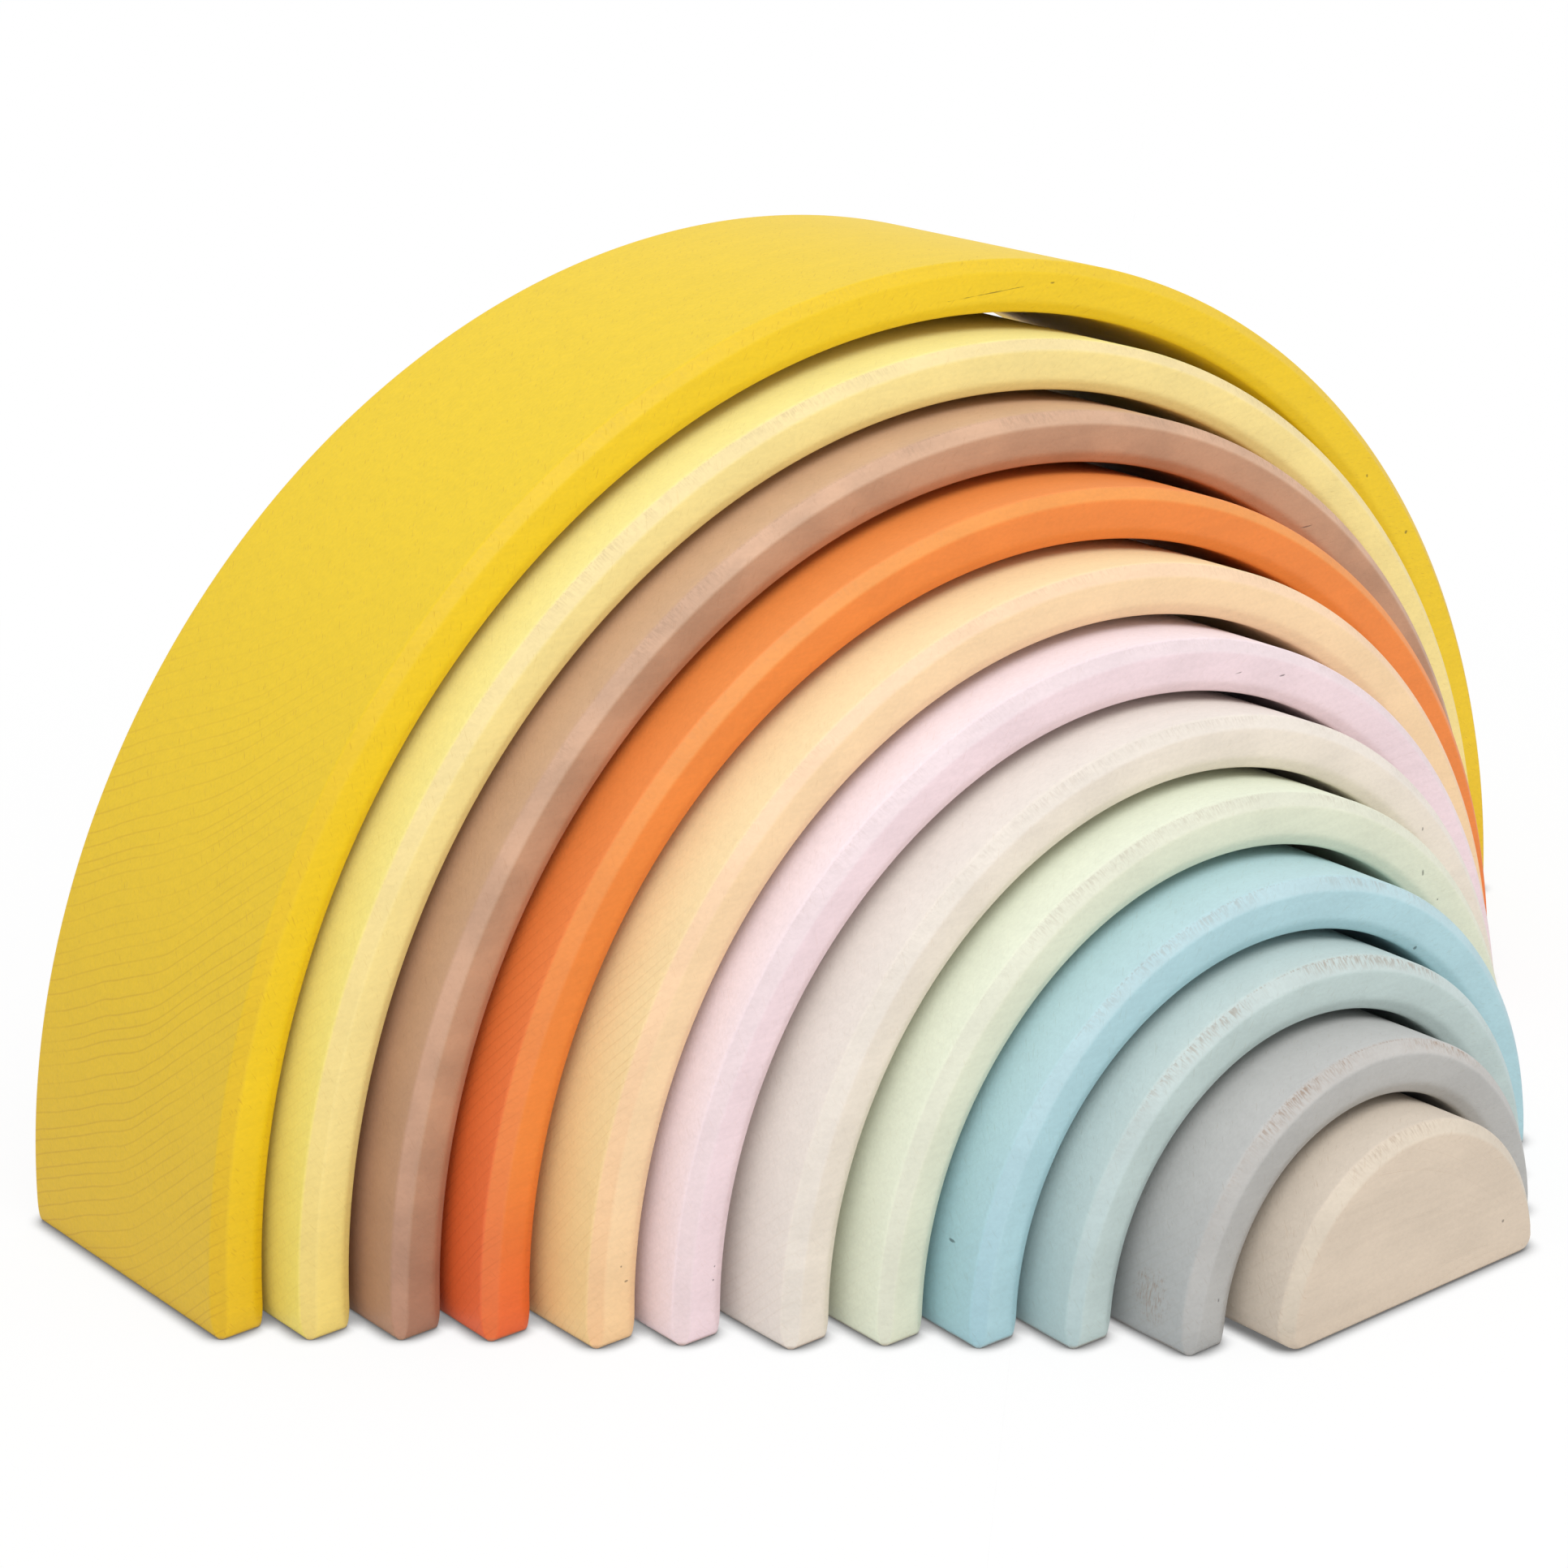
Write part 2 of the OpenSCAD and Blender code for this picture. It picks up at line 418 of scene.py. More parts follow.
def grid_faces(rows, columns, wrap):
    """Quads of a grid of points numbered row by row; wrap joins the last column to the first."""
    last = columns if wrap else columns - 1
    row, column = np.meshgrid(np.arange(rows - 1), np.arange(last), indexing="ij")
    following = (column + 1) % columns
    return np.stack([
        row * columns + column, row * columns + following,
        (row + 1) * columns + following, (row + 1) * columns + column,
    ], axis=-1).reshape(-1, 4)


def ladder_faces(left, right):
    """Quads of a strip between two rows of points."""
    return np.stack([left[:-1], left[1:], right[1:], right[:-1]], axis=-1)


def outward(points, faces):
    """The same faces, turned over if they enclose a negative volume."""
    a, b, c, d = (points[faces[:, k]] for k in range(4))
    volume = (np.cross(a, b) * c).sum() + (np.cross(a, c) * d).sum()
    return faces if volume > 0 else faces[:, ::-1]


def add_piece(node, points, faces, corner_uv, values, material):
    """Mesh object for a piece, which stands for its CAD node and moves with its body."""
    mesh = bpy.data.meshes.new(f"{node}_painted")
    mesh.from_pydata(points, [], faces.tolist())
    mesh.polygons.foreach_set("use_smooth", np.ones(len(faces), bool))
    uv_layer = mesh.uv_layers.new(name="section")
    uv_layer.data.foreach_set("uv", corner_uv.astype(np.float32).ravel())
    for name, value in values.items():
        attribute = mesh.attributes.new(name, "FLOAT", "POINT")
        attribute.data.foreach_set("value", value.astype(np.float32).ravel())
    mesh.materials.append(material)
    mesh.validate()
    mesh.update()
    piece = bpy.data.objects.new(f"{node}_painted", mesh)
    bpy.context.scene.collection.objects.link(piece)
    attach(piece, node)
    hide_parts(node)


def foot_share(height, reach=2.2 * MM):
    """How close a point is to the floor, from 1 on it to 0 at the reach."""
    return np.clip(1 - height / reach, 0, 1)


def rubbing(height, top):
    """Share of the rubbing at a height: a straight ramp between two shares of the full height."""
    return np.clip((height / top - RUBBED_FROM) / (RUBBED_TO - RUBBED_FROM), 0, 1)


def build_arch(node, sizes, material, draw):
    """Arch: an eight-sided section carried along a half circle.

    A section point at distance s from the axis and d behind the middle goes to (s cos t, d, s sin t)
    for the angle t along the path. At the feet the section lies level at a height h, at the distance
    from the middle at which a circle of radius s has that height, and it shrinks and closes. The tunnel
    closes in by a belly that fades with a power of the sine of t. Over the depth it is the cubic with the
    value 0 at the front, 1 at two thirds and 0 again at the back.
    """
    piece = measure(node)
    inset, lift = foot_rings(sizes.foot_inset, sizes.foot_height, sizes.edge_softness)
    first = math.asin((sizes.foot_height + sizes.edge_softness) / piece.inner)
    steps = max(LEAST_STEPS, round(math.pi * piece.outer / sizes.path_step))
    arc = np.linspace(first, math.pi - first, steps)
    zero = np.zeros_like(inset)
    turns = np.concatenate([zero, arc, zero + math.pi])
    lift = np.concatenate([lift, np.zeros(steps), lift[::-1]])
    inset = np.concatenate([inset, np.zeros(steps), inset[::-1]])

    def worn():
        return sizes.sanded_away * (0.5 + 0.5 * wander(turns, draw))

    outer = piece.outer - worn() - inset
    inner = piece.inner + worn() + inset
    front = -piece.depth / 2 + worn() + inset
    back = piece.depth / 2 - worn() - inset
    narrow = np.clip(1 - FLAT_NARROWING * inset / sizes.edge_flat, LEAST_FLAT, 1)
    flats = [sizes.edge_flat * narrow * (1 + sizes.unevenness * wander(turns, draw)) for _ in range(4)]
    outer_front, outer_back, inner_back, inner_front = flats
    steep = sizes.inner_depth / sizes.edge_flat
    corners = np.stack([
        np.stack([outer, front + outer_front], -1), np.stack([outer, back - outer_back], -1),
        np.stack([outer - outer_back, back], -1), np.stack([inner + inner_back, back], -1),
        np.stack([inner, back - steep * inner_back], -1), np.stack([inner, front + steep * inner_front], -1),
        np.stack([inner + inner_front, front], -1), np.stack([outer - outer_front, front], -1),
    ], axis=1)
    softness = np.where(CORNER_INSIDE, sizes.inner_softness, sizes.edge_softness)[:, None]
    section = rounded_section(corners, softness * narrow[:, None, None], SIDE_POINTS)
    away, behind = section[..., 0], section[..., 1]
    belly = sizes.outer_belly if node == OUTER_ARCH else sizes.tunnel_belly
    share = 2 * behind / piece.depth
    closing = section_values(SIDE_TUNNEL, SIDE_POINTS) * BELLY_PEAK * (1 - share ** 2) * (1 + share)
    away = away - belly * np.sin(turns)[:, None] ** BELLY_FADE * closing
    height = away * np.sin(turns)[:, None] + lift[:, None]
    points = place(piece, np.sqrt(away ** 2 - lift[:, None] ** 2) * np.cos(turns)[:, None], behind, height)
    rows, columns = height.shape

    # The caps join the outer half of an end section to its inner half, from front to back
    front_middle = sum(SIDE_POINTS[:FRONT]) + (FRONT + 1) * (BEND_STEPS + 1) + SIDE_POINTS[FRONT] // 2
    loop = np.roll(np.arange(columns), -front_middle)
    outer_half, inner_half = loop[:columns // 2], loop[columns // 2:][::-1]
    last = (rows - 1) * columns
    skin = grid_faces(rows, columns, wrap=True)
    caps = [ladder_faces(inner_half, outer_half), ladder_faces(last + outer_half, last + inner_half)]
    points = points.reshape(-1, 3)
    faces = outward(points, np.concatenate([skin, *caps]))

    # UV in metres: along the path at the outer radius, and around the section of the crown
    crown = section[rows // 2]
    around = np.append(0.0, np.cumsum(np.linalg.norm(np.roll(crown, -1, axis=0) - crown, axis=1)))
    along = piece.outer * turns + np.where(turns > math.pi / 2, -lift, lift)
    row, column = np.divmod(faces, columns)
    seam = (column == 0) & (column.max(axis=1, keepdims=True) == columns - 1)
    uv = np.stack([along[row], around[np.where(seam, columns, column)]], axis=-1)

    values = {
        "outside": np.broadcast_to(section_values(SIDE_OUTSIDE, SIDE_POINTS), (rows, columns)),
        "pale": np.broadcast_to(section_values(SIDE_PALENESS, SIDE_POINTS), (rows, columns)),
        "rubbed": rubbing(height, piece.outer) * section_values(SIDE_RUBBED, SIDE_POINTS),
        "end_grain": np.abs(np.cos(turns))[:, None] * section_values(SIDE_END_GRAIN, SIDE_POINTS),
        "foot": foot_share(height),
    }
    add_piece(node, points, faces, uv, values, material)


# Sides of the half-round's section: front, front flat, round face, back flat, back and the way round
ROUND_SIDES = 6
ROUND_FRONT_FLAT, ROUND_FACE, ROUND_BACK_FLAT = 1, 2, 3
ROUND_POINTS = [0, 2, 16, 2, 0, 0]
ROUND_OUTSIDE = marked([ROUND_FACE], ROUND_SIDES)
ROUND_PALENESS = marked([ROUND_FRONT_FLAT, ROUND_BACK_FLAT], ROUND_SIDES)
ROUND_RUBBED = [(0, 0), (0.3, 1), (0, 0), (1, 0.3), (0, 0), (0, 0)]
ROUND_END_GRAIN = [(0.7, 0.7), (0.8, 0.9), (1, 1), (0.9, 0.8), (0.7, 0.7), (0.7, 0.7)]
# Share of its width that the half-round's flat loses along the base
ROUND_NARROWING = 0.7
# How far the section runs onto the front and back, in softnesses of an edge, and the share by which its
# bends are tighter along the base
ROUND_RIM = 4
ROUND_TIGHTER = 0.4
# Points along the arc and the base, and along a bottom corner
ROUND_ARC_STEPS = 90
ROUND_CORNER_STEPS = 8
# How far the front's inner row is drawn in, and the height of the point that it is drawn to
ROUND_DRAWN_IN = 0.06
ROUND_CENTRE = 0.4


def open_section(section):
    """The half-round's section without the bends where it would close inside the piece."""
    bend = BEND_STEPS + 1
    return section[:, bend:-bend]


def half_round_outline(radius, corner):
    """Closed outline of the half-round, as places to the side, heights and headings of its normals.

    It goes over the arc from right to left, round the left bottom corner, along the base and round the
    right corner. A corner is a circle that touches both the base and the arc.
    """
    reach = math.sqrt((radius - corner) ** 2 - corner ** 2)
    meets = math.atan2(corner, reach)
    over = np.linspace(meets, math.pi - meets, ROUND_ARC_STEPS)
    left = np.linspace(math.pi - meets, 1.5 * math.pi, ROUND_CORNER_STEPS + 2)[1:-1]
    right = np.linspace(-0.5 * math.pi, meets, ROUND_CORNER_STEPS + 2)[1:-1]
    base = np.linspace(-reach, reach, ROUND_ARC_STEPS)
    heading = np.concatenate([over, left, np.full(ROUND_ARC_STEPS, 1.5 * math.pi), right])
    side = np.concatenate([
        radius * np.cos(over), -reach + corner * np.cos(left), base, reach + corner * np.cos(right)
    ])
    height = np.concatenate([
        radius * np.sin(over), corner + corner * np.sin(left), 0 * base, corner + corner * np.sin(right)
    ])
    return side, height, heading


def build_half_round(node, sizes, material, draw):
    """Half-round: a section that runs from front to back, carried round the outline of the front.

    A section point at inset i and d behind the middle goes i inwards from the outline, at depth d.
    The flat narrows along the base, and its unevenness fades from the crown to the base. The front and
    back are strips between the upper and the lower half of the outline.
    """
    piece = measure(node)
    side, height, heading = half_round_outline(piece.outer, sizes.corner_round)
    steps = len(side)
    under = np.clip(-np.sin(heading), 0, 1)
    flat = sizes.edge_flat * (1 - ROUND_NARROWING * under ** 2)
    from_base = np.cos(heading / 2 - np.pi / 4) ** 2
    flat = flat * (1 + sizes.unevenness * wander(heading, draw) * from_base)
    half = np.full(steps, piece.depth / 2)
    rim = flat + ROUND_RIM * sizes.edge_softness
    none = np.zeros(steps)
    corners = np.stack([
        np.stack([rim, -half], -1), np.stack([flat, -half], -1), np.stack([none, flat - half], -1),
        np.stack([none, half - flat], -1), np.stack([flat, half], -1), np.stack([rim, half], -1),
    ], axis=1)
    softness = sizes.edge_softness * (1 - ROUND_TIGHTER * under)[:, None, None]
    section = open_section(rounded_section(corners, softness, ROUND_POINTS))
    inset, behind = section[..., 0], section[..., 1]
    across = side[:, None] - inset * np.cos(heading)[:, None]
    above = height[:, None] - inset * np.sin(heading)[:, None]
    across, above, behind = (
        np.concatenate([values[:, :1], values, values[:, -1:]], axis=1) for values in (across, above, behind)
    )
    # The outermost rows lie on the front and back, drawn in towards a point on the middle line
    inner_rows = [0, -1]
    across[:, inner_rows] *= 1 - ROUND_DRAWN_IN
    above[:, inner_rows] += ROUND_DRAWN_IN * (piece.outer * ROUND_CENTRE - above[:, inner_rows])
    points = place(piece, across, behind, above)
    rows, columns = across.shape
    points = points.reshape(-1, 3)

    skin = grid_faces(rows, columns, wrap=False)
    seam = np.arange(columns - 1)
    join = np.stack([(rows - 1) * columns + seam, (rows - 1) * columns + seam + 1, seam + 1, seam], -1)
    loop = np.roll(np.arange(rows), ROUND_CORNER_STEPS // 2) * columns
    upper, lower = loop[:rows // 2], loop[rows // 2:][::-1]
    caps = [ladder_faces(upper, lower), ladder_faces(lower + columns - 1, upper + columns - 1)]
    faces = outward(points, np.concatenate([skin, join, *caps]))

    # UV in metres: round the outline, and over the section from front to back at a row near the crown
    near_crown = rows // 5
    crown = np.stack([above[near_crown], behind[near_crown]], axis=-1)
    around = np.append(0.0, np.cumsum(np.linalg.norm(np.diff(crown, axis=0), axis=1)))
    stride = np.hypot(np.diff(side, append=side[:1]), np.diff(height, append=height[:1]))
    along = np.append(0.0, np.cumsum(stride))
    row, column = np.divmod(faces, columns)
    wrapped = (row == 0) & (row.max(axis=1, keepdims=True) == rows - 1)
    uv = np.stack([along[np.where(wrapped, rows, row)], around[column]], axis=-1)

    round_share = 1 - under[:, None]
    outside, pale, rubbed, grain = (
        np.pad(open_section(section_values(values, ROUND_POINTS)[None]), ((0, 0), (1, 1)), mode="edge")
        for values in (ROUND_OUTSIDE, ROUND_PALENESS, ROUND_RUBBED, ROUND_END_GRAIN)
    )
    values = {
        "outside": outside * round_share,
        "pale": pale * round_share,
        "rubbed": rubbed * rubbing(above, piece.outer),
        "end_grain": np.abs(np.cos(heading))[:, None] * grain,
        "foot": foot_share(above),
    }
    add_piece(node, points, faces, uv, values, material)


# Paint

# Growth rings: their spacing, the share of it that a line takes up, how much they ripple, how much steeper
# they rise in front of a kink, how far that lies in front of the piece's middle and how gradual it is
RING_SPACING = 3.0 * MM
RING_LINE = 0.11
RING_RIPPLE = 2.2 * MM
RING_KINK = 0.33
RING_KINK_BEFORE_MIDDLE = 5 * MM
RING_BEND = 8 * MM
# Turn of the pores against the path of a piece, in degrees
PORE_SLANT = 42
# What the paint over growth rings and pores is multiplied by
GRAIN_TINT = (0.84, 0.76, 0.68)
# Share by which the clouds in the paint are weaker on the outer face
OUTSIDE_CALM = 0.7
# Heights, as shares of a piece's own, up to which painted shade darkens the outer face and the front
FOOT_SHADE_OUTSIDE = 0.95
FOOT_SHADE_FRONT = 0.30
# Share by which the flats get less painted shade than the outer face, where the front gets it in full
FLAT_HOLD = 0.3

# Noise, as features per metre along the part's three axes, or along and around a piece's section, and how
# far the noise of one piece is shifted from that of the next
RIPPLE_NOISE = (5.0, 55.0, 35.0)
RING_PATCH_NOISE = (9.0, 30.0, 45.0)
FIBRE_NOISE = (22.0, 260.0, 850.0)
CLOUD_NOISE = (60.0, 90.0, 90.0)
TOOTH_NOISE = (900.0, 1500.0, 1500.0)
RAGGED_NOISE = (420.0, 420.0, 1300.0)
STREAK_NOISE = (900.0, 2600.0, 600.0)
PORE_NOISE = (380.0, 2900.0, 1.0)
RUBBED_NOISE = (48.0, 12.0, 1.0)
STROKE_NOISE = (2300.0, 480.0, 1.0)
NOISE_SHIFT = (3.1, 1.7, 2.3)
# Values of a noise or a share between which something sets in
RING_PATCH_RANGE = (0.3, 0.6)
END_GRAIN_RANGE = (0.62, 0.98)
PORE_RANGE = (0.64, 0.74)
RUBBED_PATCH_RANGE = (0.36, 0.60)
RUBBED_RANGE = (0.15, 0.9)
STROKE_RANGE = (0.40, 0.66)
STREAK_RANGE = (0.42, 0.64)
FOOT_RANGE = (0.55, 0.95)
FOOT_CLOUD_RANGE = (0.35, 0.6)
CLOUD_RANGE = (0.3, 0.7)
FINE_RANGE = (0.2, 0.8)
FLAW_RANGE = (1.05, 1.6)
# How strong each mark is: the rings where they are faint, pores, bare strokes, streaks and feet, the ragged
# edge of flaws, and what clouds, fibre, tooth and flaws add to the tone
FAINT_RINGS = 0.35
PORE_STRENGTH = 0.7
STROKE_STRENGTH = 0.75
STREAK_STRENGTH = 0.45
FOOT_STRENGTH = 0.6
RAGGED_STRENGTH = 1.6
LEAST_CLOUD_TONE, CLOUD_TONE = 0.012, 0.10
FIBRE_TONE = 0.022
TOOTH_TONE = 0.03
FLAW_TONE = -0.6
# Relief of rings, pores, bare wood and flaws against that of the tooth, and of the whole
RING_RELIEF, PORE_RELIEF, BARE_RELIEF, FLAW_RELIEF = -0.5, -0.8, -0.8, -3.0
RELIEF_STRENGTH = 0.35
RELIEF_DEPTH = 0.15 * MM
BARE_ROUGHNESS = 0.8


def feed(tree, socket, value):
    """Joins a socket to another one, or sets its value."""
    if isinstance(value, bpy.types.NodeSocket):
        tree.links.new(value, socket)
    else:
        socket.default_value = value


def calculate(tree, operation, *values):
    """Output of a Math node."""
    node = tree.nodes.new("ShaderNodeMath")
    node.operation = operation
    for socket, value in zip(node.inputs, values):
        feed(tree, socket, value)
    return node.outputs[0]


def ease(tree, value, low, high, start=0.0, end=1.0):
    """Smooth step from start to end as the value goes from low to high."""
    node = tree.nodes.new("ShaderNodeMapRange")
    node.interpolation_type = "SMOOTHSTEP"
    for socket, number in zip(node.inputs, (value, low, high, start, end)):
        feed(tree, socket, number)
    return node.outputs[0]


def cloud(tree, vector, features, shift=(0.0, 0.0, 0.0), detail=2.0):
    """Noise from 0 to 1 with so many features per metre along each axis, shifted by some features."""
    stretched = tree.nodes.new("ShaderNodeVectorMath")
    stretched.operation = "MULTIPLY_ADD"
    for socket, value in zip(stretched.inputs, (vector, features, shift)):
        feed(tree, socket, value)
    node = tree.nodes.new("ShaderNodeTexNoise")
    feed(tree, node.inputs["Vector"], stretched.outputs[0])
    node.inputs["Scale"].default_value = 1.0
    node.inputs["Detail"].default_value = detail
    return node.outputs["Fac"]


def mix_colour(tree, share, first, second, way="MIX"):
    """Two colours mixed by a share of the second."""
    node = tree.nodes.new("ShaderNodeMix")
    node.data_type = "RGBA"
    node.blend_type = way
    for name, value in (("Factor_Float", share), ("A_Color", first), ("B_Color", second)):
        feed(tree, next(s for s in node.inputs if s.identifier == name), value)
    return next(s for s in node.outputs if s.identifier == "Result_Color")


def split(tree, vector, names):
    """The named parts of a vector."""
    node = tree.nodes.new("ShaderNodeSeparateXYZ")
    feed(tree, node.inputs[0], vector)
    return [node.outputs[name] for name in names]


def attribute(tree, name):
    """Number that the mesh carries at each point."""
    node = tree.nodes.new("ShaderNodeAttribute")
    node.attribute_name = name
    return node.outputs["Fac"]


def growth_rings(tree, spot, shift, rise, kink):
    """Thin lines that rise towards the front, unevenly spaced: edges of random cells along one number.

    The number is the height above a line that falls towards the back, and falls faster in front of the
    kink. Noise makes the lines ripple a little.
    """
    depth, height = split(tree, spot, "YZ")
    before_kink = calculate(tree, "SMOOTH_MIN", calculate(tree, "SUBTRACT", depth, kink), 0.0, RING_BEND)
    level = calculate(tree, "MULTIPLY_ADD", depth, rise, height)
    level = calculate(tree, "MULTIPLY_ADD", before_kink, RING_KINK, level)
    ripple = cloud(tree, spot, RIPPLE_NOISE, shift)
    level = calculate(tree, "MULTIPLY_ADD", ripple, RING_RIPPLE, level)
    cells = tree.nodes.new("ShaderNodeTexVoronoi")
    cells.voronoi_dimensions = "1D"
    cells.feature = "DISTANCE_TO_EDGE"
    feed(tree, cells.inputs["W"], level)
    cells.inputs["Scale"].default_value = 1 / RING_SPACING
    return ease(tree, cells.outputs["Distance"], 0.0, RING_LINE, 1.0, 0.0)


def flaws_in(tree, node, spot, flaws):
    """Share that is 1 inside those of the flaws that the piece has: the nearest of some stretched balls."""
    piece = measure(node)
    deepest = None
    for flaw in (flaw for flaw in flaws if flaw.node == node):
        turn, radius = math.radians(flaw.angle), flaw.radius * MM
        ball = tree.nodes.new("ShaderNodeMapping")
        ball.vector_type = "TEXTURE"
        feed(tree, ball.inputs["Vector"], spot)
        ball.inputs["Location"].default_value = place(
            piece, radius * math.cos(turn), flaw.behind * MM - piece.depth / 2, radius * math.sin(turn)
        )
        ball.inputs["Scale"].default_value = np.array([flaw.length, flaw.depth, flaw.height]) * MM / 2
        away = tree.nodes.new("ShaderNodeVectorMath")
        away.operation = "LENGTH"
        feed(tree, away.inputs[0], ball.outputs[0])
        away = away.outputs["Value"]
        deepest = away if deepest is None else calculate(tree, "MINIMUM", deepest, away)
    if deepest is None:
        return None
    ragged = cloud(tree, spot, RAGGED_NOISE)
    away = calculate(tree, "MULTIPLY_ADD", ragged, RAGGED_STRENGTH, deepest)
    return ease(tree, away, *FLAW_RANGE, 1.0, 0.0)


def rings_in(tree, spot, shift, end_grain, piece, finish):
    """Growth rings where a face cuts across the grain, fainter in some patches."""
    rings = growth_rings(tree, spot, shift, finish.rise, piece.y - RING_KINK_BEFORE_MIDDLE)
    patches = ease(tree, cloud(tree, spot, RING_PATCH_NOISE, shift), *RING_PATCH_RANGE, FAINT_RINGS, 1.0)
    share = calculate(tree, "MULTIPLY", ease(tree, end_grain, *END_GRAIN_RANGE), patches)
    return calculate(tree, "MULTIPLY", calculate(tree, "MULTIPLY", rings, share), finish.rings)


def pores_in(tree, section, shift, finish):
    """Short thin dashes that lie slanting to the path: the peaks of a stretched noise."""
    slant = tree.nodes.new("ShaderNodeMapping")
    feed(tree, slant.inputs["Vector"], section)
    slant.inputs["Rotation"].default_value = (0.0, 0.0, math.radians(PORE_SLANT))
    dashes = cloud(tree, slant.outputs[0], PORE_NOISE, shift, detail=1.0)
    return calculate(tree, "MULTIPLY", ease(tree, dashes, *PORE_RANGE), finish.pores)


def strokes_in(tree, section, shift, rubbed, finish):
    """Short strokes across the flats, in patches, where the paint is rubbed through."""
    patch = cloud(tree, section, RUBBED_NOISE, shift, detail=3.0)
    stroke = cloud(tree, section, STROKE_NOISE, shift, detail=3.0)
    bare = calculate(
        tree, "MULTIPLY", ease(tree, patch, *RUBBED_PATCH_RANGE), ease(tree, stroke, *STROKE_RANGE)
    )
    bare = calculate(tree, "MULTIPLY", bare, ease(tree, rubbed, *RUBBED_RANGE))
    return calculate(tree, "MULTIPLY", bare, STROKE_STRENGTH * finish.strokes)


def bare_wood_in(tree, node, spot, shift, strokes, foot, clouds):
    """Share of bare wood: the most of the strokes, the worn feet and the streaks in worn patches."""
    feet = calculate(tree, "MULTIPLY", ease(tree, foot, *FOOT_RANGE), ease(tree, clouds, *FOOT_CLOUD_RANGE))
    bare = calculate(tree, "MAXIMUM", strokes, calculate(tree, "MULTIPLY", feet, FOOT_STRENGTH))
    worn = flaws_in(tree, node, spot, WORN_PATCHES)
    if worn:
        streaks = cloud(tree, spot, STREAK_NOISE, shift)
        streaks = calculate(tree, "MULTIPLY", worn, ease(tree, streaks, *STREAK_RANGE))
        bare = calculate(tree, "MAXIMUM", bare, calculate(tree, "MULTIPLY", streaks, STREAK_STRENGTH))
    return bare


def painted_foot_shade_in(tree, spot, outside, pale, piece, finish):
    """Share of painted shade: it falls with the height, sooner on the front than outside."""
    height, = split(tree, spot, "Z")
    on_side = ease(tree, height, 0.0, FOOT_SHADE_OUTSIDE * piece.outer, 1.0, 0.0)
    on_front = ease(tree, height, 0.0, FOOT_SHADE_FRONT * piece.outer, finish.front_soak, 0.0)
    side = calculate(tree, "MULTIPLY_ADD", pale, 1 - FLAT_HOLD * finish.front_soak, outside)
    return calculate(tree, "MULTIPLY_ADD", calculate(tree, "SUBTRACT", on_side, on_front), side, on_front)


